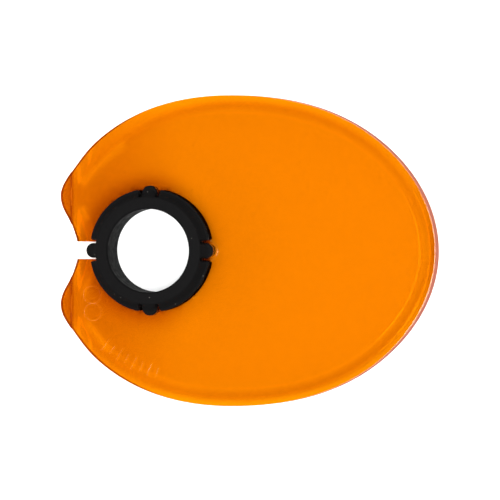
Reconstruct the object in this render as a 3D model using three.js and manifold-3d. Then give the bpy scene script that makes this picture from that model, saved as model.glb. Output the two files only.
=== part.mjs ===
// Glare shield for a hand-held dental curing lamp: a stiff see-through plate, moulded in
// orange plastic, and the black rubber bush that grips the nose of the lamp.
// Millimetres, +Z towards the user's eye, +X towards the wide end of the plate.
// The origin is under the middle of the whole shield, on the surface that it stands on.

import * as THREE from 'three';
import { mergeVertices } from 'three/addons/utils/BufferGeometryUtils.js';
import Module from 'manifold-3d';

const wasm = await Module();
wasm.setup();

// Driving dimensions

const NOSE_X = 72.75; // wide end of the plate, measured from the axis of the bush
const EAR_X = -23.0; // tip of the two ears, beside the slot
const HALF_WIDTH = 38.75; // half the width of the plate at its widest
const SLOT_HALF = 2.15; // half the width of the slot, and the radius of the three keyways
const HOLE_RADIUS = 13.5;

const BUSH_HEIGHT = 11.4;
const BORE_RADIUS = 10.5;
const FLANGE_RADIUS = 15.4;
const FACE_RADIUS = 13.0; // outer edge of the flat front face
const TAIL_RADIUS = 12.8;
const NECK_RADIUS = 13.0; // where the back of the rear flange runs into the tail
const NECK_HEIGHT = 2.9;
const LUG_RADIUS = 1.85;
const LUG_CIRCLE = 14.35; // radius at which the four lugs and their keyways are centred
const LUG_BOTTOM = 3.9;
const LUG_TOP = 9.6;
const SLIT_WIDTH = 0.75;
const SLIT_START = 13.25; // radius at which the slits beside each lug begin

const PLATE_BOTTOM = 5.4; // height of the plate's flat underside
const PLATE_TOP = 8.4;
const RIM_DROP = 1.0; // how far the rim hangs below the underside
const RIM_WIDTH = 2.2;
const RIM_SLOPE = 0.8; // width of the sloping inner side of the rim
const RIM_END = -17.5; // the rim stops here, short of the ears
const EDGE_BEVEL = 0.25;
const EAR_PAD = 0.45; // how far the finger pads on the ears stand proud
const EAR_LINE = -20.2; // the straight line at which the finger pads begin
const EAR_STEP = 0.15; // run of the steep step at that line

const FIT_GAP = 0.3; // clearance between the plate and the bush
const CURVE_STEPS = 7; // straight steps for each curve of the outline
const ROUND_STEPS = 72; // straight steps round the bush
const LUG_STEPS = 24;

const BUSH_X = -(NOSE_X + EAR_X) / 2; // brings the middle of the shield over the origin

// One half of the outline, from the wide end to the mouth of the slot.
// Each knot is [x, y, direction of travel in degrees], from the axis of the bush.
const OUTLINE_KNOTS = [
  [NOSE_X, 0, 90],
  [58.1, 27.4, 141.5],
  [38.4, 36.8, 166.5],
  [20.2, HALF_WIDTH, 180],
  [0.1, 35.45, 200],
  [-14.1, 27.0, 222],
  [-19.7, 20.35, 234],
  [EAR_X, 13.5, 270],
  [-21.55, 9.0, 301],
  [-18.8, SLOT_HALF, 284],
];

// Outlines

function heading(degrees) {
  const angle = THREE.MathUtils.degToRad(degrees);
  return new THREE.Vector2(Math.cos(angle), Math.sin(angle));
}

// The curve that leaves one knot and reaches the next in their own directions, as near to
// an arc of a circle as their places allow.
function curveBetween(from, to) {
  const start = new THREE.Vector2(from[0], from[1]);
  const end = new THREE.Vector2(to[0], to[1]);
  const turn = THREE.MathUtils.degToRad(to[2] - from[2]);
  const reach = start.distanceTo(end) / (3 * Math.cos(turn / 4) ** 2);
  const startHandle = start.clone().addScaledVector(heading(from[2]), reach);
  const endHandle = end.clone().addScaledVector(heading(to[2]), -reach);
  return new THREE.CubicBezierCurve(start, startHandle, endHandle, end);
}

function outlinePoints() {
  const half = [new THREE.Vector2(NOSE_X, 0)];
  for (let i = 1; i < OUTLINE_KNOTS.length; i += 1) {
    const curve = curveBetween(OUTLINE_KNOTS[i - 1], OUTLINE_KNOTS[i]);
    half.push(...curve.getPoints(CURVE_STEPS).slice(1));
  }
  const mirrored = half.slice(1).reverse().map((point) => new THREE.Vector2(point.x, -point.y));
  return [...half, ...mirrored];
}

// The outline moved inwards by a distance, along the mean normal at each point.
function insetPoints(points, distance) {
  return points.map((point, i) => {
    const before = points[(i + points.length - 1) % points.length];
    const after = points[(i + 1) % points.length];
    const along = after.clone().sub(before).normalize();
    return new THREE.Vector2(point.x - along.y * distance, point.y + along.x * distance);
  });
}

// Solids

function solidOf(geometry) {
  const bare = geometry.clone();
  bare.deleteAttribute('normal');
  bare.deleteAttribute('uv');
  const merged = mergeVertices(bare, 1e-5);
  const vertProperties = new Float32Array(merged.attributes.position.array);
  const triVerts = new Uint32Array(merged.index.array);
  return new wasm.Manifold(new wasm.Mesh({ numProp: 3, vertProperties, triVerts }));
}

function geometryOf(solid) {
  const mesh = solid.getMesh();
  const geometry = new THREE.BufferGeometry();
  const positions = new Float32Array(mesh.vertProperties);
  geometry.setAttribute('position', new THREE.BufferAttribute(positions, 3));
  geometry.setIndex(new THREE.BufferAttribute(new Uint32Array(mesh.triVerts), 1));
  geometry.computeVertexNormals();
  return geometry;
}

// A closed band of walls between rings of points at rising heights, with flat ends.
function stackOf(layers) {
  const count = layers[0].points.length;
  const positions = [];
  for (const layer of layers) {
    for (const point of layer.points) {
      positions.push(point.x, point.y, layer.z);
    }
  }
  const indices = [];
  for (let level = 0; level < layers.length - 1; level += 1) {
    for (let i = 0; i < count; i += 1) {
      const here = level * count + i;
      const next = level * count + ((i + 1) % count);
      indices.push(here, next, next + count);
      indices.push(here, next + count, here + count);
    }
  }
  const topStart = (layers.length - 1) * count;
  for (const [a, b, c] of THREE.ShapeUtils.triangulateShape(layers[0].points, [])) {
    indices.push(c, b, a);
  }
  for (const [a, b, c] of THREE.ShapeUtils.triangulateShape(layers.at(-1).points, [])) {
    indices.push(topStart + a, topStart + b, topStart + c);
  }
  const geometry = new THREE.BufferGeometry();
  geometry.setAttribute('position', new THREE.Float32BufferAttribute(positions, 3));
  geometry.setIndex(indices);
  return solidOf(geometry);
}

function uprightCylinder(radius, bottom, top, x, y, steps) {
  const geometry = new THREE.CylinderGeometry(radius, radius, top - bottom, steps);
  geometry.rotateX(Math.PI / 2);
  geometry.translate(x, y, (bottom + top) / 2);
  return solidOf(geometry);
}

function boxBetween(low, high) {
  const geometry = new THREE.BoxGeometry(high[0] - low[0], high[1] - low[1], high[2] - low[2]);
  geometry.translate((low[0] + high[0]) / 2, (low[1] + high[1]) / 2, (low[2] + high[2]) / 2);
  return solidOf(geometry);
}

// A closed ring turned about the axis of the bush, from [radius, height] corners.
function turnedRing(corners) {
  const profile = [...corners, corners[0]].map(([radius, z]) => new THREE.Vector2(radius, z));
  const geometry = new THREE.LatheGeometry(profile, ROUND_STEPS);
  geometry.rotateX(Math.PI / 2);
  return solidOf(geometry);
}

// The plate

const REACH = 1; // how far a cutting solid runs past the faces that it cuts

function plateBlank(outline) {
  return stackOf([
    { z: PLATE_BOTTOM - RIM_DROP, points: insetPoints(outline, EDGE_BEVEL) },
    { z: PLATE_BOTTOM - RIM_DROP + EDGE_BEVEL, points: outline },
    { z: PLATE_TOP - EDGE_BEVEL, points: outline },
    { z: PLATE_TOP, points: insetPoints(outline, EDGE_BEVEL) },
  ]);
}

// The space under the plate that leaves the rim hanging round it, with a sloping side.
function spaceInsideRim(outline) {
  return stackOf([
    { z: PLATE_BOTTOM - RIM_DROP - REACH, points: insetPoints(outline, RIM_WIDTH) },
    { z: PLATE_BOTTOM - RIM_DROP, points: insetPoints(outline, RIM_WIDTH) },
    { z: PLATE_BOTTOM, points: insetPoints(outline, RIM_WIDTH + RIM_SLOPE) },
  ]);
}

// The space under both ears, which have no rim.
function spaceUnderEars() {
  const bottom = PLATE_BOTTOM - RIM_DROP - REACH;
  return boxBetween([EAR_X - REACH, -HALF_WIDTH, bottom], [RIM_END, HALF_WIDTH, PLATE_BOTTOM]);
}

// Finger pads: the outermost parts of both ears, raised behind a steep step.
function fingerPads(outline) {
  const wedge = new THREE.Shape([
    new THREE.Vector2(EAR_X - REACH, PLATE_TOP - REACH),
    new THREE.Vector2(EAR_LINE, PLATE_TOP - REACH),
    new THREE.Vector2(EAR_LINE, PLATE_TOP),
    new THREE.Vector2(EAR_LINE - EAR_STEP, PLATE_TOP + EAR_PAD),
    new THREE.Vector2(EAR_X - REACH, PLATE_TOP + EAR_PAD),
  ]);
  const depth = 2 * HALF_WIDTH;
  const geometry = new THREE.ExtrudeGeometry(wedge, { depth, bevelEnabled: false });
  geometry.rotateX(Math.PI / 2);
  geometry.translate(0, HALF_WIDTH, 0);
  const prism = stackOf([
    { z: PLATE_TOP - REACH, points: outline },
    { z: PLATE_TOP + EAR_PAD - EDGE_BEVEL, points: outline },
    { z: PLATE_TOP + EAR_PAD, points: insetPoints(outline, EDGE_BEVEL) },
  ]);
  return solidOf(geometry).intersect(prism);
}

// The round hole for the bush, the slot that opens it at the ears, and three keyways.
function bushHole() {
  const bottom = -REACH;
  const top = BUSH_HEIGHT + REACH;
  let cut = uprightCylinder(HOLE_RADIUS, bottom, top, 0, 0, ROUND_STEPS);
  cut = cut.add(boxBetween([EAR_X - REACH, -SLOT_HALF, bottom], [0, SLOT_HALF, top]));
  cut = cut.add(boxBetween([0, -SLOT_HALF, bottom], [LUG_CIRCLE, SLOT_HALF, top]));
  cut = cut.add(boxBetween([-SLOT_HALF, -LUG_CIRCLE, bottom], [SLOT_HALF, LUG_CIRCLE, top]));
  for (const [x, y] of [[1, 0], [0, 1], [0, -1]]) {
    const end = uprightCylinder(SLOT_HALF, bottom, top, x * LUG_CIRCLE, y * LUG_CIRCLE, LUG_STEPS);
    cut = cut.add(end);
  }
  return cut;
}

function shieldPlate() {
  const outline = outlinePoints();
  const hollow = spaceInsideRim(outline).add(spaceUnderEars());
  const body = plateBlank(outline).subtract(hollow);
  return geometryOf(body.add(fingerPads(outline)).subtract(bushHole()));
}

// The bush

const GROOVE_BOTTOM = PLATE_BOTTOM - FIT_GAP;
const GROOVE_TOP = PLATE_TOP + FIT_GAP;
const WAIST_RADIUS = HOLE_RADIUS - FIT_GAP;
const FLANGE_LIP = 0.6; // upright height of the thin outer edge of each flange
const CHAMFER = 0.4;
const RIGHT_ANGLE = 90;

function bushBody() {
  return turnedRing([
    [BORE_RADIUS, CHAMFER],
    [BORE_RADIUS + CHAMFER, 0],
    [TAIL_RADIUS - CHAMFER, 0],
    [TAIL_RADIUS, CHAMFER],
    [NECK_RADIUS, NECK_HEIGHT],
    [FLANGE_RADIUS, GROOVE_BOTTOM - FLANGE_LIP],
    [FLANGE_RADIUS, GROOVE_BOTTOM],
    [WAIST_RADIUS, GROOVE_BOTTOM],
    [WAIST_RADIUS, GROOVE_TOP],
    [FLANGE_RADIUS, GROOVE_TOP],
    [FLANGE_RADIUS, GROOVE_TOP + FLANGE_LIP],
    [FACE_RADIUS + CHAMFER, BUSH_HEIGHT - CHAMFER],
    [FACE_RADIUS, BUSH_HEIGHT],
    [BORE_RADIUS + CHAMFER, BUSH_HEIGHT],
    [BORE_RADIUS, BUSH_HEIGHT - CHAMFER],
  ]);
}

// One round-ended lug with the two slits beside it, which let it flex into its keyway.
function withLug(body, quarter) {
  const turned = (solid) => solid.rotate([0, 0, quarter * RIGHT_ANGLE]);
  const lug = uprightCylinder(LUG_RADIUS, LUG_BOTTOM, LUG_TOP, LUG_CIRCLE, 0, LUG_STEPS);
  const rootStart = WAIST_RADIUS - REACH;
  const root = boxBetween([rootStart, -LUG_RADIUS, LUG_BOTTOM], [LUG_CIRCLE, LUG_RADIUS, LUG_TOP]);
  let result = body;
  for (const side of [-1, 1]) {
    const near = side * LUG_RADIUS;
    const far = side * (LUG_RADIUS + SLIT_WIDTH);
    const slit = boxBetween(
      [SLIT_START, Math.min(near, far), -REACH],
      [FLANGE_RADIUS + REACH, Math.max(near, far), BUSH_HEIGHT + REACH],
    );
    result = result.subtract(turned(slit));
  }
  return result.add(turned(lug.add(root)));
}

function rubberBush() {
  let bush = bushBody();
  for (let quarter = 0; quarter < 4; quarter += 1) {
    bush = withLug(bush, quarter);
  }
  return geometryOf(bush);
}

// Materials

function orangePlastic() {
  return new THREE.MeshStandardMaterial({
    color: 0xf98200,
    roughness: 0.12,
    metalness: 0,
    transparent: true,
    opacity: 0.85,
  });
}

function blackRubber() {
  return new THREE.MeshStandardMaterial({ color: 0x1a1a1b, roughness: 0.75, metalness: 0 });
}

// Assembly

function pieceOf(name, geometry, material) {
  const mesh = new THREE.Mesh(geometry, material);
  mesh.name = name;
  return mesh;
}

const shield = new THREE.Group();
shield.name = 'curing_lamp_shield';
shield.position.x = BUSH_X;
shield.add(pieceOf('shield_plate', shieldPlate(), orangePlastic()));
shield.add(pieceOf('rubber_bush', rubberBush(), blackRubber()));

export default shield;
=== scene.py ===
"""Glare shield of a dental curing lamp: an orange see-through plate with a black rubber bush.

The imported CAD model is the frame. Both of its nodes are replaced by finer meshes of the same
size: the plate is one triangulated outline raised to its upper and lower heights, and the bush
is lofted ring by ring. The object's lengths are millimetres until they reach a mesh, and the
studio's are metres.
"""

import math

import bpy
import numpy as np
from mathutils import Matrix, Vector
from mathutils.geometry import delaunay_2d_cdt


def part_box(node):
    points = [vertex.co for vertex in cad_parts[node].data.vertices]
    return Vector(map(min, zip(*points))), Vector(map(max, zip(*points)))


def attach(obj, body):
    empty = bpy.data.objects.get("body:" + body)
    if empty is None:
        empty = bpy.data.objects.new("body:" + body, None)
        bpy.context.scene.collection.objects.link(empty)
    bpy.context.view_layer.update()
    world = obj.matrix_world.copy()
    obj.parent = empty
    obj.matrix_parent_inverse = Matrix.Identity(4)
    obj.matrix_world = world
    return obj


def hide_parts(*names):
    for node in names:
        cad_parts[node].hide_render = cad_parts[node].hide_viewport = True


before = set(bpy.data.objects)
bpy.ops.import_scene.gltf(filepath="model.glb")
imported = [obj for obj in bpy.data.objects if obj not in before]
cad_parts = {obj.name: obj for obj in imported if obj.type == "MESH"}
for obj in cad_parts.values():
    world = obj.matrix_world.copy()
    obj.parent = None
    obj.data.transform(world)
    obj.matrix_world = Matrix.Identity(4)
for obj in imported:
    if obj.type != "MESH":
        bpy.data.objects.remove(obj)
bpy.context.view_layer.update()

MM = 0.001

PLATE_LOW, PLATE_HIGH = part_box("shield_plate")
BUSH_LOW, BUSH_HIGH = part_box("rubber_bush")
BUSH_AXIS = (BUSH_LOW + BUSH_HIGH) / 2  # metres
PLATE_CENTRE = (PLATE_LOW + PLATE_HIGH) / 2  # metres
AXIS_PLACE = np.array([BUSH_AXIS.x, BUSH_AXIS.y]) / MM

# Heights, in millimetres over the surface that the shield stands on
PLATE_TOP = 8.4
PLATE_BOTTOM = 5.4
BUSH_TOP = BUSH_HIGH.z / MM
FIT_GAP = 0.08  # between each flange and the plate

# Plan of the plate, in millimetres from the axis of the bush
NOSE_X = (PLATE_HIGH.x - BUSH_AXIS.x) / MM
EAR_X = (PLATE_LOW.x - BUSH_AXIS.x) / MM
HALF_WIDTH = PLATE_HIGH.y / MM
SLOT_HALF = 2.15
FLANGE_RADIUS = 15.4
HOLE_RADIUS = 13.5
LUG_CIRCLE = 14.35
KEYWAY_RADIUS = 1.88  # a keyway takes one lug
OUTLINE_KNOTS = [  # x, y, direction of travel in degrees
    (NOSE_X, 0, 90),
    (58.1, 27.4, 141.5),
    (38.4, 36.8, 166.5),
    (20.2, HALF_WIDTH, 180),
    (0.1, 35.45, 200),
    (-14.1, 27.0, 222),
    (-19.7, 20.35, 234),
    (EAR_X, 13.5, 270),
    (-21.55, 9.0, 301),
    (-18.8, SLOT_HALF, 284),
]

# Relief of the plate, in millimetres
EDGE_ROUND = 0.14  # radius of the upper and the lower edge, all round the boundary
RIM_DROP = 1.0
RIM_FLAT = 1.9  # width of the flat underside of the rim
RIM_FOOT = 4.6  # distance from the outline at which the rim has run out
RIM_START = -19.5  # the rim fades in between these places along X
RIM_FULL = -15.5
EAR_LINE = -20.2  # the ear pads start here
EAR_PAD = 0.45
EAR_STEP = 0.15  # length of the slope up to a pad
EAR_FROM = 4.0  # the mesh follows a pad's edge between these distances from the middle line
EAR_TO = 22.0
RIDGE_HEIGHT = 0.02
RIDGE_HALF = 0.16
RIDGE_ROWS = (-1.6, -1, -0.5, 0, 0.5, 1, 1.6)  # in half widths; the outer rows keep the land flat

# The row of raised bars: spokes round a centre, in millimetres and degrees
MARK_CENTRE = (15.6, 12.6)
MARK_REACH = 45.2
MARK_COUNT = 8
MARK_START = 233.0
MARK_STEP = 2.7
MARK_LONG = 3.7
MARK_SHORT = 2.5

# Moulded rings: centre, radius, and how strong the ridge is
WITNESS_RINGS = [
    ((-15.1, -11.1), 2.15, 1.0),
    ((-15.1, -11.1), 1.0, 0.5),
    ((-14.9, -15.4), 2.15, 1.0),
    ((LUG_CIRCLE, 0.0), 2.75, 1.0),
    ((10.9, 10.9), 1.0, 0.8),
    ((10.9, -10.9), 1.0, 0.8),
]


# ---------------------------------------------------------------- plan curves

LEAST_LENGTH = 1e-9  # these two keep a division by a length from failing
LEAST_SQUARE = 1e-12
SHARPEST_MITRE = 0.35  # a sharper corner's mitre is cut at this cosine


def heading(degrees):
    """The direction at this angle, as a vector of length 1."""
    angle = math.radians(degrees)
    return np.array([math.cos(angle), math.sin(angle)])


def curve_between(start, end, steps):
    """Points of the cubic curve from one knot to the next, without the first."""
    a, b = np.array(start[:2], float), np.array(end[:2], float)
    turn = math.radians(end[2] - start[2])
    reach = np.linalg.norm(b - a) / (3 * math.cos(turn / 4) ** 2)
    p, q = a + heading(start[2]) * reach, b - heading(end[2]) * reach
    t = np.linspace(0, 1, steps + 1)[1:, None]
    return (1 - t) ** 3 * a + 3 * (1 - t) ** 2 * t * p + 3 * (1 - t) * t * t * q + t**3 * b


def outline_half(steps=18):
    """The upper half of the outline, from the wide end's middle to the mouth of the slot."""
    rows = [np.array([[NOSE_X, 0.0]])]
    for start, end in zip(OUTLINE_KNOTS, OUTLINE_KNOTS[1:]):
        rows.append(curve_between(start, end, steps))
    return np.vstack(rows)


def arc(centre, radius, start, end, steps):
    """Points of an arc, in degrees, both ends included."""
    t = np.radians(np.linspace(start, end, steps + 1))
    return np.column_stack([centre[0] + radius * np.cos(t), centre[1] + radius * np.sin(t)])


def hole_half():
    """The upper half of the hole, from the slot round to the wide end's keyway."""
    slot_meet = math.degrees(math.asin(SLOT_HALF / HOLE_RADIUS))
    key_meet = math.degrees(math.asin(KEYWAY_RADIUS / HOLE_RADIUS))
    pieces = [
        arc((0, 0), HOLE_RADIUS, 180 - slot_meet, 90 + key_meet, 40),
        arc((0, LUG_CIRCLE), KEYWAY_RADIUS, 180, 0, 18),
        arc((0, 0), HOLE_RADIUS, 90 - key_meet, key_meet, 40),
        arc((LUG_CIRCLE, 0), KEYWAY_RADIUS, 90, 0, 9),
    ]
    return np.vstack(pieces)


def mirrored(points):
    """The same points below the middle line, in reverse order."""
    return points[::-1] * np.array([1, -1])


def plate_loop():
    """The closed boundary of the plate, anticlockwise: outline, slot and hole in one loop."""
    outer, inner = outline_half(), hole_half()
    upper = np.vstack([outer, inner[:-1]])
    lower = mirrored(np.vstack([outer[1:], inner]))
    return np.vstack([upper, inner[-1:], lower[1:]])


def closed_outline():
    """The outline with a straight line across the mouth of the slot, as a closed loop."""
    half = outline_half()
    return np.vstack([half, mirrored(half[1:])])


def inset(points, distance):
    """The closed loop moved inwards along each corner's mitre."""
    before, after = np.roll(points, 1, axis=0), np.roll(points, -1, axis=0)

    def unit(v):
        return v / np.maximum(np.linalg.norm(v, axis=1, keepdims=True), LEAST_LENGTH)

    d1, d2 = unit(points - before), unit(after - points)
    n1 = np.column_stack([-d1[:, 1], d1[:, 0]])
    n2 = np.column_stack([-d2[:, 1], d2[:, 0]])
    mitre = unit(n1 + n2)
    stretch = np.maximum((mitre * n1).sum(1, keepdims=True), SHARPEST_MITRE)
    return points + mitre * distance / stretch


def distance_to(points, path):
    """Distance of each point to an open path of straight steps."""
    a, b = path[:-1], path[1:]
    ab = b - a
    square = np.maximum((ab**2).sum(1), LEAST_SQUARE)
    best = np.full(len(points), np.inf)
    for i in range(len(ab)):
        w = points - a[i]
        t = np.clip(w @ ab[i] / square[i], 0, 1)
        best = np.minimum(best, np.linalg.norm(w - t[:, None] * ab[i], axis=1))
    return best


def smooth(t):
    """Smooth step from 0 to 1."""
    t = np.clip(t, 0, 1)
    return t * t * (3 - 2 * t)


def below(value, edge, blend):
    """1 where the value is below the edge by the blend or more, and 0 from the edge on."""
    return smooth((edge - value) / blend)


def bell(distance, width):
    """1 at distance 0, and next to nothing at twice the width."""
    return np.exp(-((distance / width) ** 2))


def mix(a, b, share):
    """From a, where the share is 0, to b, where it is 1."""
    return a * (1 - share) + b * share


# ---------------------------------------------------------------- relief on the plate


def border_marks():
    """Generic raised bars in a row along the border: short paths of two points."""
    bars = []
    for i in range(MARK_COUNT):
        out = heading(MARK_START + MARK_STEP * i)
        half = (MARK_LONG, MARK_SHORT)[i % 2] / 2
        middle = np.array(MARK_CENTRE) + out * MARK_REACH
        bars.append(np.array([middle + out * half, middle - out * half]))
    return bars


def ridge(distance):
    """Height of a low round-topped ridge, from the distance to its middle line."""
    return RIDGE_HEIGHT * smooth(1 - distance / RIDGE_HALF)


def relief(points):
    """Height of the bars and rings over the face of the plate."""
    height = np.zeros(len(points))
    for bar in border_marks():
        height = np.maximum(height, ridge(distance_to(points, bar)))
    for centre, radius, strength in WITNESS_RINGS:
        away = np.abs(np.linalg.norm(points - np.array(centre), axis=1) - radius)
        height = np.maximum(height, strength * ridge(away))
    return height


def relief_lines():
    """Paths that the mesh follows so that the ridges are crisp."""
    lines = []
    for a, b in border_marks():
        along = (b - a) / np.linalg.norm(b - a)
        side = np.array([-along[1], along[0]])
        for offset in RIDGE_ROWS:
            shift = side * offset * RIDGE_HALF
            over = along * abs(offset) * RIDGE_HALF
            lines.append(np.array([a + shift - over, b + shift + over]))
    for centre, radius, _ in WITNESS_RINGS:
        for offset in RIDGE_ROWS:
            lines.append(arc(centre, radius + offset * RIDGE_HALF, -180, 180, 40))
    return lines


# ---------------------------------------------------------------- the plate

# Spacing of the plate's mesh, in millimetres and degrees
ROUND_ANGLES = (22.5, 45.0, 67.5, 90.0)  # lines of the mesh round an edge
BORDER_STEP = 0.4
BORDER_END = 6.6
LAND_STEP = 1.7  # spacing of the points over the rest of the plate
ROW_STEP = 0.87 * LAND_STEP
LAND_CLEAR = 1.0  # those points keep this far from the boundary
RELIEF_CLEAR = 0.5  # and this far from the lines of the relief
WELD = 1e-4  # points closer than this become one

# Looks of the plate, in linear colour and millimetres
ORANGE = (0.585, 0.1695, 0.0004)
EDGE_AT_NOSE = (0.30, 0.075, 0.04)  # the matt outer wall, from the wide end to the ears
EDGE_AT_EARS = (0.55, 0.165, 0.02)
EDGE_BLEND_FROM = 18.0  # its colour changes over this length
EDGE_BLEND_LENGTH = 24.0
CONTACT_REACH = 16.5  # the rubber presses on the walls of the hole this far from its axis
CONTACT_FROM = -13.3
ON_OUTLINE = 1e-3  # a point this near the outline is on it
EDGE_SLOT = 1  # places in the plate's list of materials
RUBBER_SLOT = 2

# Tint of the plastic with light and shade painted into it, in millimetres and in shares of the
# plain light. "Facing" says how far the nearest stretch of the outline faces the wide end, from -1
# to 1, and a pair holds the values along the sides and at the wide end.
NOSE_POWER = 24
WIDE_END_FACING = 0.8
WIDE_END_BLEND = 0.15

FOOT_AT = (2.3, 1.1)  # painted shadow: the darker line along the foot of the rim, from the outline
FOOT_INWARDS = (2.3, 1.4)  # how far it spreads
FOOT_OUTWARDS = 1.6
FOOT_DRIFT = 3.0  # on the upper side it moves inwards towards the ears
FOOT_DRIFT_FACING = 0.5
FOOT_DEPTH = 0.25
FOOT_SIDE_LESS = 0.10  # fainter on the way to the wide end
FOOT_SIDE_FACING = 0.3
FOOT_SIDE_BLEND = 0.6
FOOT_EARS_LESS = 0.65  # and towards the ears
FOOT_EARS_FACING = -0.2
FOOT_EARS_BLEND = 0.5

BORDER_WIDTH = (2.35, 1.05)  # painted light: the lighter border
BORDER_BLEND = 1.3
BORDER_LIGHT = (0.16, 0.07)  # along the sides and towards the ears
BORDER_EARS_FACING = -0.05
BORDER_EARS_BLEND = 0.4

RIM_LINES = (  # painted shade: darker lines at the wide end, against the rim's glints: place and strength
    (4.15, 0.22),
    (1.25, 0.26),
)
RIM_LINE_WIDTH = 0.3
OUTER_LINE = 0.45  # painted shade: the darker outermost edge at the wide end, against its highlight
OUTER_LINE_WIDTH = 0.7
OUTER_LINE_BLEND = 0.5

STREAKS = [  # painted highlights: soft bright strokes near the ears: path, half width, strength
    ([(-7.5, 26.2), (-12.6, 21.8), (-17.4, 17.0)], 1.3, 0.32),
    ([(-17.6, 10.2), (-16.6, 8.2)], 1.2, 0.34),
    ([(-11.4, -24.4), (-16.0, -18.6)], 1.2, 0.30),
    ([(-17.2, -10.5), (-15.6, -6.4)], 1.2, 0.18),
]
STREAK_SOFTNESS = 1.6

RIDGE_LIGHT = 0.62  # painted highlights: the bars and rings are lighter, and a little less orange
RIDGE_BLUE = 0.006
EARS_DARKER = 0.36  # painted shade: the whole plate darkens towards the ears
EARS_DARKER_FROM = 10.0
EARS_DARKER_BLEND = 30.0
# painted shade on the ear pads
PAD_DARKER = 0.39
CREASE_DARKER = 0.35  # painted shade in the crease along the front edge of each pad
CREASE_SHIFT = 0.1
CREASE_WIDTH = 0.28
CREASE_FROM = 5.0

SHADED_FROM = 12.0  # towards the ears from here the bush shades the plastic round it
SHADED_BLEND = 12.0
HALO_DARKER = 0.30
HALO_WIDTH = 3.2
LIFT_LIGHT = 0.12  # painted light: towards the wide end the plastic round the bush is lighter
LIFT_RADIUS = 19.5
LIFT_WIDTH = 4.0
COVERED_DARKER = 0.9  # painted shade under the flange
COVERED_BLEND = 0.4

LIGHT_LEAST = 0.2
LIGHT_MOST = 1.5
RED_POWER = 0.55  # red changes less with the light than green does
RED_MOST = 1.1
RED_HALO_POWER = 0.5
GREEN_HALO_POWER = 1.35


def edge_round(distance):
    """How far a face falls at a rounded edge, from the distance to the edge."""
    d = np.clip(distance, 0, EDGE_ROUND)
    return EDGE_ROUND - np.sqrt(np.maximum(EDGE_ROUND**2 - (EDGE_ROUND - d) ** 2, 0))


def top_height(points, from_edge):
    """Height of the upper face: flat, with raised ear pads, relief and round edges."""
    pad = EAR_PAD * np.clip((EAR_LINE - points[:, 0]) / EAR_STEP, 0, 1)
    return PLATE_TOP + pad + relief(points) - edge_round(from_edge)


def bottom_height(points, from_outline, from_edge):
    """Height of the lower face: flat, with the rim along the outline and round edges."""
    drop = RIM_DROP * smooth((RIM_FOOT - from_outline) / (RIM_FOOT - RIM_FLAT))
    drop *= smooth((points[:, 0] - RIM_START) / (RIM_FULL - RIM_START))
    return PLATE_BOTTOM - drop + edge_round(from_edge)


def closed(loop):
    """A loop as a path that ends where it starts."""
    return np.vstack([loop, loop[:1]])


def plan_lines(loop):
    """Paths that the mesh follows, wherever the height of the plate bends."""
    outline = closed_outline()
    paths = []
    for angle in ROUND_ANGLES:
        paths.append(closed(inset(loop, EDGE_ROUND * (1 - math.cos(math.radians(angle))))))
    for distance in np.arange(BORDER_STEP, BORDER_END, BORDER_STEP):
        paths.append(closed(inset(outline, distance)))
    for x in (EAR_LINE, EAR_LINE - EAR_STEP):
        for side in (-1, 1):
            paths.append(np.array([[x, side * EAR_FROM], [x, side * EAR_TO]]))
    return paths + relief_lines()


def land_points(loop):
    """Staggered rows of points over the plate, clear of its boundary and of the relief."""
    land = np.array([
        (x + (0.5 * LAND_STEP if row % 2 else 0.0), y)
        for row, y in enumerate(np.arange(-HALF_WIDTH, HALF_WIDTH, ROW_STEP))
        for x in np.arange(EAR_X, NOSE_X, LAND_STEP)
    ])
    land = land[distance_to(land, closed(loop)) > LAND_CLEAR]
    for path in relief_lines():
        land = land[distance_to(land, path) > RELIEF_CLEAR]
    return land


def plate_plan(loop):
    """Points and triangles of the plate's plan, inside its boundary."""
    points = [Vector(p) for p in loop]
    edges = []
    for path in plan_lines(loop):
        start = len(points)
        points += [Vector(p) for p in path]
        edges += [(start + i, start + i + 1) for i in range(len(path) - 1)]
    points += [Vector(p) for p in land_points(loop)]
    face = [list(range(len(loop)))]
    found, _, triangles, _, _, parents = delaunay_2d_cdt(points, edges, face, 0, WELD)
    inside = [tuple(t) for t, parent in zip(triangles, parents) if parent]
    return without_strays(np.array([tuple(p) for p in found]), inside)


def without_strays(points, faces):
    """Drops the points that no face uses."""
    used = sorted({i for f in faces for i in f})
    new_place = {old: new for new, old in enumerate(used)}
    return points[used], [tuple(new_place[i] for i in f) for f in faces]


def facing_of(points, path):
    """How far the nearest step of the outline faces the wide end, from -1 to 1."""
    a, b = path[:-1], path[1:]
    middle = (a + b) / 2
    length = np.maximum(np.linalg.norm(b - a, axis=1), LEAST_LENGTH)
    facing = (b - a)[:, 1] / length
    gap = np.linalg.norm(points[:, None, :] - middle[None, :, :], axis=2)
    return facing[np.argmin(gap, axis=1)]


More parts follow.
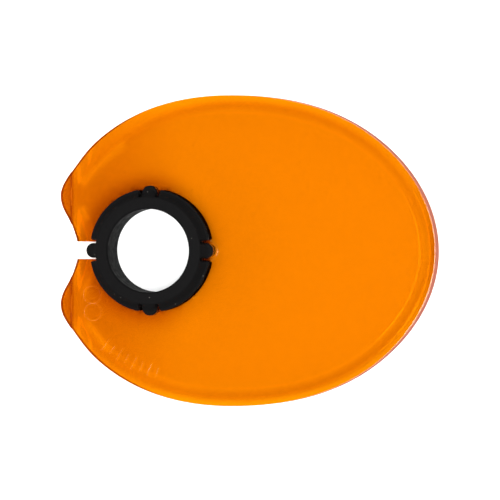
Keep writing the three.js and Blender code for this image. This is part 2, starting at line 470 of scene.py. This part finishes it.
def painted_border_light(points, facing, from_outline):
    """Painted light along the border, less the painted shadow line at the foot of the rim and the
    painted shade at the wide end.
    """
    towards_nose = np.clip(facing, 0, 1) ** NOSE_POWER
    towards_ears = below(facing, BORDER_EARS_FACING, BORDER_EARS_BLEND)

    drift = FOOT_DRIFT * np.clip(-facing, 0, FOOT_DRIFT_FACING) * (points[:, 1] > 0)
    beyond = from_outline - (mix(*FOOT_AT, towards_nose) + drift)
    reach = np.where(beyond > 0, mix(*FOOT_INWARDS, towards_nose), FOOT_OUTWARDS)
    line = 0.5 + 0.5 * np.cos(np.pi * np.clip(beyond / reach, -1, 1))
    at_side = np.clip((facing - FOOT_SIDE_FACING) / FOOT_SIDE_BLEND, 0, 1) * (1 - towards_nose)
    depth = FOOT_DEPTH - FOOT_SIDE_LESS * at_side
    depth *= 1 - FOOT_EARS_LESS * below(facing, FOOT_EARS_FACING, FOOT_EARS_BLEND)

    outer = below(from_outline, mix(*BORDER_WIDTH, towards_nose), BORDER_BLEND)
    light = mix(*BORDER_LIGHT, towards_ears) * outer - depth * line
    wide_end = smooth((facing - WIDE_END_FACING) / WIDE_END_BLEND)
    for place, strength in RIM_LINES:
        light -= strength * wide_end * bell(from_outline - place, RIM_LINE_WIDTH)
    light -= OUTER_LINE * wide_end * below(from_outline, OUTER_LINE_WIDTH, OUTER_LINE_BLEND)
    return light


def painted_streak_light(points):
    """Painted highlights that the streaks near the ears add."""
    light = np.zeros(len(points))
    for path, half, strength in STREAKS:
        away = distance_to(points, np.array(path))
        light += strength * np.exp(-((away / half) ** 2) * STREAK_SOFTNESS)
    return light


def ear_shade(points):
    """The share of the light left by painted shade towards the ears, on their pads and in the
    creases.
    """
    x, from_middle = points[:, 0], np.abs(points[:, 1])
    towards_ears = 1 - EARS_DARKER * below(x, EARS_DARKER_FROM, EARS_DARKER_BLEND)
    crease = bell(x - EAR_LINE + CREASE_SHIFT, CREASE_WIDTH) * (from_middle > CREASE_FROM)
    pad = below(x, EAR_LINE, EAR_STEP)
    return towards_ears * (1 - PAD_DARKER * pad - CREASE_DARKER * crease)


def plate_colours_with_painted_light(points, facing, from_outline):
    """Colour of the plastic, point by point, with painted light and shade in it."""
    radius = np.linalg.norm(points, axis=1)
    ridges = relief(points) / RIDGE_HEIGHT
    light = 1 + painted_border_light(points, facing, from_outline) + painted_streak_light(points)
    light += RIDGE_LIGHT * ridges
    light *= ear_shade(points) * (1 - COVERED_DARKER * below(radius, FLANGE_RADIUS, COVERED_BLEND))
    light = np.clip(light, LIGHT_LEAST, LIGHT_MOST)

    # painted shade round the bush towards the ears, and painted light round it towards the wide
    # end
    shaded = below(points[:, 0], SHADED_FROM, SHADED_BLEND)
    halo = 1 - HALO_DARKER * shaded * bell(radius - FLANGE_RADIUS, HALO_WIDTH)
    lift = 1 + LIFT_LIGHT * (1 - shaded) * bell(radius - LIFT_RADIUS, LIFT_WIDTH)
    red = ORANGE[0] * np.minimum(light**RED_POWER, RED_MOST) * halo**RED_HALO_POWER * lift
    green = ORANGE[1] * light * halo**GREEN_HALO_POWER * lift
    blue = ORANGE[2] * light + RIDGE_BLUE * ridges
    return np.column_stack([red, green, blue])


def wall_colours(points):
    """Colour of the matt outer wall, point by point."""
    share = below(points[:, 0], EDGE_BLEND_FROM, EDGE_BLEND_LENGTH)[:, None]
    return mix(np.array(EDGE_AT_NOSE), np.array(EDGE_AT_EARS), share)


def boundary_edges(faces):
    """The edges that only one face uses, in the direction that the face runs them."""
    seen = {}
    for f in faces:
        for edge in zip(f, f[1:] + f[:1]):
            seen[edge] = True
    return [(a, b) for a, b in seen if (b, a) not in seen]


def paint(mesh, name, colours):
    """Gives the upper and the lower point of each place in the plan the same colour."""
    opaque = np.column_stack([colours, np.ones(len(colours))])
    layer = mesh.attributes.new(name, "FLOAT_COLOR", "POINT")
    layer.data.foreach_set("color", np.vstack([opaque, opaque]).ravel())


def plate_mesh():
    """The plan at its upper and its lower height, with a wall all round its boundary."""
    loop = plate_loop()
    plan, faces = plate_plan(loop)
    half = outline_half()
    outline = np.vstack([mirrored(half)[:-1], half])
    from_edge = distance_to(plan, closed(loop))
    from_outline = distance_to(plan, outline)

    count = len(plan)
    upper = np.column_stack([plan + AXIS_PLACE, top_height(plan, from_edge)])
    lower = np.column_stack([plan + AXIS_PLACE, bottom_height(plan, from_outline, from_edge)])
    triangles = faces + [tuple(count + i for i in reversed(f)) for f in faces]
    boundary = boundary_edges(faces)
    walls = [(b, a, a + count, b + count) for a, b in boundary]
    mesh = bpy.data.meshes.new("shield_plate_fine")
    mesh.from_pydata((np.vstack([upper, lower]) * MM).tolist(), [], triangles + walls)

    outer = from_outline < ON_OUTLINE
    near_bush = np.linalg.norm(plan, axis=1) < CONTACT_REACH
    touching = near_bush & (plan[:, 0] > CONTACT_FROM)
    for i, (a, b) in enumerate(boundary):
        wall = mesh.polygons[len(triangles) + i]
        if outer[a] and outer[b]:
            wall.material_index = EDGE_SLOT
        elif touching[a] and touching[b]:
            wall.material_index = RUBBER_SLOT
    # the plate's colour holds painted light and shade as well as its dye
    paint(mesh, "plate_colour", plate_colours_with_painted_light(plan, facing_of(plan, outline), from_outline))
    paint(mesh, "edge_colour", wall_colours(plan))
    mesh.validate()
    return mesh


# ---------------------------------------------------------------- the bush

# Plan, in millimetres and degrees
BORE_RADIUS = 10.4
NECK_RADIUS = 13.2  # inner ends of the slits
WAIST_RADIUS = 13.42  # inside the hole of the plate
LUG_RADIUS = 1.85
LUG_HALF_ANGLE = 8.0  # the points this near a lug's middle belong to it
SLIT_WIDTH = 0.75
FLANGE_CORNER = 0.55  # radius of the flange's corner at a slit
LEAST_TURN = 0.12  # between neighbouring points of a round ring, before they fill a quarter

# Profile, in millimetres
LIP_ROUND = 0.6  # at both ends of the bore
TOP_RADIUS = 12.0
SHOULDER_RADIUS = 12.95
SHOULDER_ROUND = 0.7
SHOULDER_END = 40  # the shoulder's arc ends at this angle, in degrees
SLOPE_DROP = 0.45  # from the top of the bush to where the flange starts to slope
SLOPE_FROM = 0.22  # share of the way from the neck to the flange's outline
SLOPE_SPAN = 0.76
SLOPE_POWER = 1.5
FLANGE_EDGE = 0.95  # from the plate to the far side of a flange's edge
EDGE_CUT = 0.15  # the cut along that edge
FIT_CUT = 0.12  # the cut along the edge next to the plate
FIT_CUT_SHARE = 0.96
LUG_TOP = 9.6
LUG_BOTTOM = 3.9
LUG_CUT = 0.08
TAPER_DEPTH = 1.7  # of the underside, from the rear flange's edge in to the neck
TAPER_STEP = 0.1  # it starts this far below the edge
FOOT_RADIUS = 12.3
FOOT_ROUND = 0.5
BORE_END = 1.2  # the plain wall of the bore keeps this far from both ends
BORE_RINGS = 5


def flange_eighth():
    """An eighth of the flange's plan: from 45 degrees round a slit to a lug's tip at angle 0."""
    slit_edge = LUG_RADIUS + SLIT_WIDTH
    slit_middle = (LUG_RADIUS + slit_edge) / 2
    slit_round = SLIT_WIDTH / 2
    slit_end = NECK_RADIUS + slit_round
    corner_y = slit_edge + FLANGE_CORNER
    corner_x = math.sqrt((FLANGE_RADIUS - FLANGE_CORNER) ** 2 - corner_y**2)
    corner_angle = math.degrees(math.atan2(corner_y, corner_x))
    wall_in = np.linspace(corner_x, slit_end, 6)[1:-1]
    wall_out = np.linspace(slit_end, LUG_CIRCLE, 4)[1:-1]
    return np.vstack([
        arc((0, 0), FLANGE_RADIUS, 45, corner_angle, 30)[:-1],
        arc((corner_x, corner_y), FLANGE_CORNER, corner_angle, -90, 8),
        np.column_stack([wall_in, np.full(len(wall_in), slit_edge)]),
        arc((slit_end, slit_middle), slit_round, 90, 270, 8),
        np.column_stack([wall_out, np.full(len(wall_out), LUG_RADIUS)]),
        arc((LUG_CIRCLE, 0), LUG_RADIUS, 90, 0, 12),
    ])


def flange_plan():
    """The whole flange outline with four lugs, anticlockwise, and the same points on a circle."""
    side = flange_eighth()
    quarter = np.vstack([(side * [1, -1])[:-1], side[::-1]])[:-1]
    angles = np.degrees(np.arctan2(quarter[:, 1], quarter[:, 0]))
    gain = np.maximum(np.diff(np.append(angles, 45.0)), LEAST_TURN)
    gain *= 90 / gain.sum()
    even = -45 + np.concatenate([[0], np.cumsum(gain)[:-1]])
    plan, circle = [], []
    for k in range(4):
        turn = math.radians(90 * k)
        c, s = math.cos(turn), math.sin(turn)
        plan.append(quarter @ np.array([[c, s], [-s, c]]))
        t = np.radians(even) + turn
        circle.append(np.column_stack([np.cos(t), np.sin(t)]))
    return np.vstack(plan), np.vstack(circle)


def sloping_top(t):
    """Reach and height of the front flange's slope, from its start at 0 to its edge at 1."""
    start, end = BUSH_TOP - SLOPE_DROP, PLATE_TOP + FLANGE_EDGE
    return SLOPE_FROM + SLOPE_SPAN * t, start + (end - start) * (1 - (1 - t) ** SLOPE_POWER)


def front_flange():
    """Rows of the front flange, from its slope to the plate: reach, reach of the lugs, height.

    A reach is the share of the way from the neck out to the outline with its lugs.
    """
    rows = []
    for t in (0.2, 0.32, 0.44, 0.56, 0.68):
        reach, z = sloping_top(t)
        rows.append((reach, reach, z))
    rows.append((0.75, 0.95, LUG_TOP + 0.01))
    rows.append((0.77, 1.0, LUG_TOP - LUG_CUT))
    for t in (0.8, 0.9, 1.0):
        reach, z = sloping_top(t)
        rows.append((reach, 1.0, z))
    rows.append((1.0, 1.0, PLATE_TOP + FLANGE_EDGE - EDGE_CUT))
    rows.append((1.0, 1.0, PLATE_TOP + FIT_GAP + FIT_CUT))
    rows.append((FIT_CUT_SHARE, FIT_CUT_SHARE, PLATE_TOP + FIT_GAP))
    return rows


def rear_flange():
    """Rows of the rear flange, from the plate to the foot, as in front_flange."""
    edge = PLATE_BOTTOM - FLANGE_EDGE
    rows = [
        (FIT_CUT_SHARE, FIT_CUT_SHARE, PLATE_BOTTOM - FIT_GAP),
        (1.0, 1.0, PLATE_BOTTOM - FIT_GAP - FIT_CUT),
        (1.0, 1.0, edge),
        (0.85, 1.0, edge - EDGE_CUT),
        (0.55, 1.0, LUG_BOTTOM + LUG_CUT),
        (0.52, 0.95, LUG_BOTTOM),
    ]
    for t in (0.55, 0.7, 0.85, 1.0):
        z = edge - TAPER_DEPTH * (1 - math.cos(t * math.pi / 2)) - TAPER_STEP
        rows.append((1 - t, 1 - t, z))
    return rows


def bush_rings():
    """Rings of points with heights, from the top of the bore over the outside and back up it."""
    flange, circle = flange_plan()
    neck = circle * NECK_RADIUS
    angles = np.degrees(np.arctan2(flange[:, 1], flange[:, 0]))
    is_lug = np.abs(np.mod(angles + 45, 90) - 45) < LUG_HALF_ANGLE
    waist = np.where(is_lug[:, None], flange, circle * WAIST_RADIUS)
    rings = []

    def quarter_turn(centre_radius, centre_z, radius, start, end):
        for t in np.radians(np.linspace(start, end, 6)):
            reach = centre_radius + radius * math.cos(t)
            rings.append((circle * reach, centre_z + radius * math.sin(t)))

    def flange_rows(rows):
        for reach, lug_reach, z in rows:
            reaches = np.where(is_lug, lug_reach, reach)[:, None]
            rings.append((neck + (flange - neck) * reaches, z))

    quarter_turn(BORE_RADIUS + LIP_ROUND, BUSH_TOP - LIP_ROUND, LIP_ROUND, 180, 90)
    rings.append((circle * TOP_RADIUS, BUSH_TOP))
    quarter_turn(SHOULDER_RADIUS, BUSH_TOP - SHOULDER_ROUND, SHOULDER_ROUND, 90, SHOULDER_END)
    flange_rows(front_flange())
    rings.append((waist, PLATE_TOP + FIT_GAP))
    rings.append((waist, PLATE_BOTTOM - FIT_GAP))
    flange_rows(rear_flange())
    quarter_turn(FOOT_RADIUS, FOOT_ROUND, FOOT_ROUND, 0, -90)
    quarter_turn(BORE_RADIUS + LIP_ROUND, LIP_ROUND, LIP_ROUND, -90, -180)
    for z in np.linspace(BORE_END, BUSH_TOP - BORE_END, BORE_RINGS):
        rings.append((circle * BORE_RADIUS, z))
    return rings


def bush_mesh():
    """Faces between each ring and the next, and from the last one to the first."""
    rings = bush_rings()
    count = len(rings[0][0])
    verts = [np.column_stack([points + AXIS_PLACE, np.full(count, z)]) for points, z in rings]
    faces = []
    for level in range(len(rings)):
        this = level * count
        following = (level + 1) % len(rings) * count
        for i in range(count):
            j = (i + 1) % count
            faces.append((this + i, following + i, following + j, this + j))
    mesh = bpy.data.meshes.new("rubber_bush_fine")
    mesh.from_pydata((np.vstack(verts) * MM).tolist(), [], faces)
    mesh.validate()
    return mesh


# ---------------------------------------------------------------- materials

ORANGE_LIGHT = (0.85, 0.775, 0.71, 1)  # what one face leaves of a lamp's light
PLASTIC_IOR = 1.49
RUBBER_COLOUR = (0.0036, 0.0035, 0.0036, 1)
DUST_COLOUR = (0.09, 0.085, 0.075, 1)
NOISE_RANGE = (0.3, 0.7)  # most of a noise lies in this range
BUMP_DEPTH = 0.0001  # metres
MIX_A = 6  # the colour sockets of a Mix node
MIX_B = 7
MIX_RESULT = 2


def new_material(name):
    material = bpy.data.materials.new(name)
    material.use_nodes = True
    nodes, links = material.node_tree.nodes, material.node_tree.links
    return material, nodes, links, nodes["Principled BSDF"]


def noise_of(nodes, links, scale, detail=2.0):
    """A noise that sits still on the object, with its scale per metre."""
    coords = nodes.new("ShaderNodeTexCoord")
    noise = nodes.new("ShaderNodeTexNoise")
    noise.inputs["Scale"].default_value = scale
    noise.inputs["Detail"].default_value = detail
    links.new(coords.outputs["Object"], noise.inputs["Vector"])
    return noise.outputs["Fac"]


def cells_of(nodes, links, scale):
    """Distance to the nearest of many scattered points, with its scale per metre."""
    coords = nodes.new("ShaderNodeTexCoord")
    cells = nodes.new("ShaderNodeTexVoronoi")
    cells.inputs["Scale"].default_value = scale
    links.new(coords.outputs["Object"], cells.inputs["Vector"])
    return cells.outputs["Distance"]


def ramp_of(nodes, links, source, source_range, result_range):
    """The source's range carried over to the result's range."""
    ramp = nodes.new("ShaderNodeMapRange")
    ramp.inputs["From Min"].default_value = source_range[0]
    ramp.inputs["From Max"].default_value = source_range[1]
    ramp.inputs["To Min"].default_value = result_range[0]
    ramp.inputs["To Max"].default_value = result_range[1]
    links.new(source, ramp.inputs["Value"])
    return ramp.outputs["Result"]


def colour_of(nodes, attribute):
    """The colour that a mesh carries point by point."""
    tint = nodes.new("ShaderNodeAttribute")
    tint.attribute_name = attribute
    return tint.outputs["Color"]


def math_of(nodes, links, operation, first, second):
    """One value out of two."""
    result = nodes.new("ShaderNodeMath")
    result.operation = operation
    links.new(first, result.inputs[0])
    links.new(second, result.inputs[1])
    return result.outputs["Value"]


def add_bump(nodes, links, shader, source, strength):
    """Small bumps on the surface, from the source's value."""
    bump = nodes.new("ShaderNodeBump")
    bump.inputs["Strength"].default_value = strength
    bump.inputs["Distance"].default_value = BUMP_DEPTH
    links.new(source, bump.inputs["Height"])
    links.new(bump.outputs["Normal"], shader.inputs["Normal"])


def orange_plastic():
    """Clear dyed plastic, with grit and faint clouds in its colour, which also carries painted
    light and shade.
    """
    material, nodes, links, shader = new_material("orange_plastic")
    grit = ramp_of(nodes, links, cells_of(nodes, links, 170.0), (0.02, 0.05), (0.72, 1.0))
    flow = noise_of(nodes, links, 1400.0, 3.0)
    cloud = ramp_of(nodes, links, flow, NOISE_RANGE, (0.965, 1.035))
    dye_and_painted_light = nodes.new("ShaderNodeVectorMath")
    dye_and_painted_light.operation = "SCALE"
    links.new(colour_of(nodes, "plate_colour"), dye_and_painted_light.inputs[0])
    links.new(math_of(nodes, links, "MULTIPLY", grit, cloud), dye_and_painted_light.inputs["Scale"])
    links.new(dye_and_painted_light.outputs["Vector"], shader.inputs["Base Color"])
    shader.inputs["Transmission Weight"].default_value = 1.0
    shader.inputs["IOR"].default_value = PLASTIC_IOR
    wear = noise_of(nodes, links, 900.0)
    links.new(ramp_of(nodes, links, wear, NOISE_RANGE, (0.02, 0.07)), shader.inputs["Roughness"])
    let_light_through(nodes, links, shader)
    return material


def let_light_through(nodes, links, shader):
    """Shadow and diffuse rays pass straight through, so the plate's shadow is coloured light."""
    clear = nodes.new("ShaderNodeBsdfTransparent")
    clear.inputs["Color"].default_value = ORANGE_LIGHT
    ray = nodes.new("ShaderNodeLightPath").outputs
    either = math_of(nodes, links, "MAXIMUM", ray["Is Shadow Ray"], ray["Is Diffuse Ray"])
    blend = nodes.new("ShaderNodeMixShader")
    links.new(either, blend.inputs["Fac"])
    links.new(shader.outputs["BSDF"], blend.inputs[1])
    links.new(clear.outputs["BSDF"], blend.inputs[2])
    links.new(blend.outputs["Shader"], nodes["Material Output"].inputs["Surface"])


def frosted_edge():
    """The matt outer wall of the plate, with a fine grain."""
    material, nodes, links, shader = new_material("orange_edge")
    links.new(colour_of(nodes, "edge_colour"), shader.inputs["Base Color"])
    shader.inputs["Specular IOR Level"].default_value = 0.05
    grain = noise_of(nodes, links, 1500.0)
    links.new(ramp_of(nodes, links, grain, NOISE_RANGE, (0.55, 0.75)), shader.inputs["Roughness"])
    add_bump(nodes, links, shader, grain, 0.2)
    return material


def black_rubber():
    """Matt black rubber, with a fine grain and specks of dust."""
    material, nodes, links, shader = new_material("black_rubber")
    shader.inputs["Specular IOR Level"].default_value = 0.014
    wear = noise_of(nodes, links, 700.0, 4.0)
    links.new(ramp_of(nodes, links, wear, NOISE_RANGE, (0.5, 0.75)), shader.inputs["Roughness"])
    dust = ramp_of(nodes, links, cells_of(nodes, links, 420.0), (0.03, 0.06), (1.0, 0.0))
    tint = nodes.new("ShaderNodeMix")
    tint.data_type = "RGBA"
    tint.inputs[MIX_A].default_value = RUBBER_COLOUR
    tint.inputs[MIX_B].default_value = DUST_COLOUR
    links.new(dust, tint.inputs["Factor"])
    links.new(tint.outputs[MIX_RESULT], shader.inputs["Base Color"])
    add_bump(nodes, links, shader, noise_of(nodes, links, 4000.0, 3.0), 0.15)
    return material


# ---------------------------------------------------------------- pieces

SHARP_ANGLE = 38  # degrees; a sharper fold of the surface is shaded as an edge


def add_piece(name, mesh, materials, node):
    """A finer piece in the place of a CAD node."""
    piece = bpy.data.objects.new(name, mesh)
    bpy.context.scene.collection.objects.link(piece)
    for material in materials:
        mesh.materials.append(material)
    mesh.shade_smooth()
    mesh.set_sharp_from_angle(angle=math.radians(SHARP_ANGLE))
    weigh = piece.modifiers.new("even_shading", "WEIGHTED_NORMAL")
    weigh.keep_sharp = True
    weigh.weight = 100
    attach(piece, "root")
    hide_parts(node)


# ---------------------------------------------------------------- studio

# Lengths here are metres and angles degrees
FLOOR_HALF = 3.0
FLOOR_HEIGHT = -0.00005  # just under what stands on it
OPENING_TILT = 15  # the dark opening of the tent leans this far from straight up, towards -X
VIEW_WIDTH = 0.1245  # how much the view takes in, at the plate
VIEW_TILT = 13.0  # the camera leans this far from straight up, towards +X
VIEW_RISE = 0.8  # and this far towards +Y
VIEW_AIM = (0.00018, 0.00018)  # the place in X and Y that the camera looks at
LENS = 900.0  # millimetres
SENSOR = 36.0


def white_floor():
    """The plain pale floor that the shield lies on."""
    half, z = FLOOR_HALF, FLOOR_HEIGHT
    corners = [(-half, -half, z), (half, -half, z), (half, half, z), (-half, half, z)]
    mesh = bpy.data.meshes.new("floor")
    mesh.from_pydata(corners, [], [(0, 1, 2, 3)])
    material, _, _, shader = new_material("pale_floor")
    shader.inputs["Base Color"].default_value = (0.85, 0.85, 0.85, 1)
    shader.inputs["Roughness"].default_value = 0.9
    shader.inputs["Specular IOR Level"].default_value = 0.0
    mesh.materials.append(material)
    floor = bpy.data.objects.new("floor", mesh)
    bpy.context.scene.collection.objects.link(floor)


def soft_box(name, azimuth, elevation, distance, size, watts):
    """A round lamp that points at the plate."""
    light = bpy.data.lights.new(name, "AREA")
    light.shape = "DISK"
    light.size = size
    light.energy = watts
    lamp = bpy.data.objects.new(name, light)
    bpy.context.scene.collection.objects.link(lamp)
    a, e = math.radians(azimuth), math.radians(elevation)
    away = Vector((math.cos(a) * math.cos(e), math.sin(a) * math.cos(e), math.sin(e)))
    lamp.location = PLATE_CENTRE + away * distance
    lamp.rotation_euler = away.to_track_quat("Z", "Y").to_euler()


def studio_world(light):
    """A white tent with a dark opening, which is what the flat faces mirror to the camera."""
    world = bpy.data.worlds.new("studio")
    bpy.context.scene.world = world
    world.use_nodes = True
    nodes, links = world.node_tree.nodes, world.node_tree.links
    coords = nodes.new("ShaderNodeTexCoord")
    lean = nodes.new("ShaderNodeVectorMath")
    lean.operation = "DOT_PRODUCT"
    tilt = math.radians(OPENING_TILT)
    lean.inputs[1].default_value = (-math.sin(tilt), 0, math.cos(tilt))
    links.new(coords.outputs["Generated"], lean.inputs[0])
    ramp = nodes.new("ShaderNodeValToRGB")
    stops = ramp.color_ramp.elements
    stops[0].position, stops[0].color = 0.0, (0.12, 0.12, 0.12, 1)
    stops[1].position, stops[1].color = 0.978, (0, 0, 0, 1)
    for place, share in ((0.35, 0.25), (0.65, 0.62), (0.86, 1.0), (0.955, 1.0)):
        stops.new(place).color = (share, share, share, 1)
    links.new(lean.outputs["Value"], ramp.inputs["Fac"])
    background = nodes["Background"]
    links.new(ramp.outputs["Color"], background.inputs["Color"])
    background.inputs["Strength"].default_value = light


def studio_camera():
    """A long lens, a little off straight down."""
    camera = bpy.data.cameras.new("camera")
    camera.lens = LENS
    camera.sensor_width = SENSOR
    camera.clip_end = 20
    rig = bpy.data.objects.new("camera", camera)
    bpy.context.scene.collection.objects.link(rig)
    tilt, rise = math.radians(VIEW_TILT), math.radians(VIEW_RISE)
    away = Vector((math.sin(tilt), math.sin(rise), math.cos(tilt))).normalized()
    aim = Vector((*VIEW_AIM, PLATE_CENTRE.z))
    rig.location = aim + away * (VIEW_WIDTH * LENS / SENSOR)
    right = Vector((0, 1, 0)).cross(away).normalized()
    up = away.cross(right)
    rig.rotation_euler = Matrix((right, up, away)).transposed().to_euler()
    bpy.context.scene.camera = rig


# ---------------------------------------------------------------- the scene

studio_camera()
white_floor()
studio_world(light=3.2)
soft_box("key", azimuth=-20, elevation=75, distance=0.6, size=0.36, watts=4.2)
bpy.context.scene.view_settings.view_transform = "Standard"

rubber = black_rubber()
plate_looks = [orange_plastic(), frosted_edge(), rubber]
add_piece("shield_plate_fine", plate_mesh(), plate_looks, "shield_plate")
add_piece("rubber_bush_fine", bush_mesh(), [rubber], "rubber_bush")
